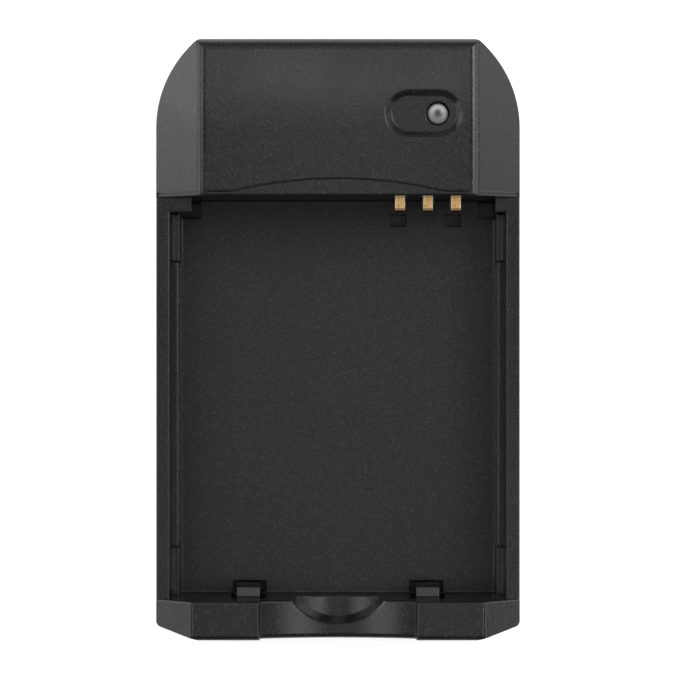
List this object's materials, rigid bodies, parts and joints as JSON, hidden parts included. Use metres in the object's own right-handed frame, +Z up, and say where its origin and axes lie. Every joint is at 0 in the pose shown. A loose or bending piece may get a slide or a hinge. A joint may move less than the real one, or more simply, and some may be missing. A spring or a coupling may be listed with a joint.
{
  "type": "camera battery charger",
  "caption": "Cradle charger for a camera battery pack: open tray with spring contacts, a raised head with an indicator lamp, and a low lip with a thumb notch.",
  "frame": {"origin": "middle of the underside of the footprint", "axes": "+Y from the lip to the head, along the cradle; +Z up out of the tray; +X across, towards the lamp and the contacts"},
  "size_m": [0.052, 0.0852, 0.0212],
  "materials": {
    "upper_shell_abs": "fine moulded texture",
    "lower_shell_abs": "fine moulded texture",
    "gilded_bronze": "gold plated",
    "lamp_epoxy": "diffused epoxy",
    "spacer_nylon": "moulded",
    "carrier_nylon": "moulded",
    "board_laminate": "solder resist",
    "zinc_screw": "zinc plated",
    "tinned_shell": "tin plated",
    "tongue_nylon": "moulded",
    "package_epoxy": "moulded",
    "ferrite": "sintered",
    "can_aluminium": "drawn",
    "chip_ceramic": "fired"
  },
  "bodies": {
    "root": {"top_case": "upper_shell_abs", "bottom_case": "lower_shell_abs", "contact_spring_left": "gilded_bronze", "contact_spring_middle": "gilded_bronze", "contact_spring_right": "gilded_bronze", "status_led": "lamp_epoxy", "led_spacer": "spacer_nylon", "contact_carrier": "carrier_nylon", "circuit_board": "board_laminate", "case_screws": "zinc_screw", "board_screws": "zinc_screw", "inlet_shell": "tinned_shell", "inlet_tongue": "tongue_nylon", "inlet_pins": "gilded_bronze", "charge_controller": "package_epoxy", "switching_transistor": "package_epoxy", "rectifier_diode": "package_epoxy", "input_capacitor": "package_epoxy", "power_inductor": "ferrite", "output_capacitor": "can_aluminium", "chip_resistors": "chip_ceramic", "chip_capacitors": "chip_ceramic"}
  },
  "joints": []
}
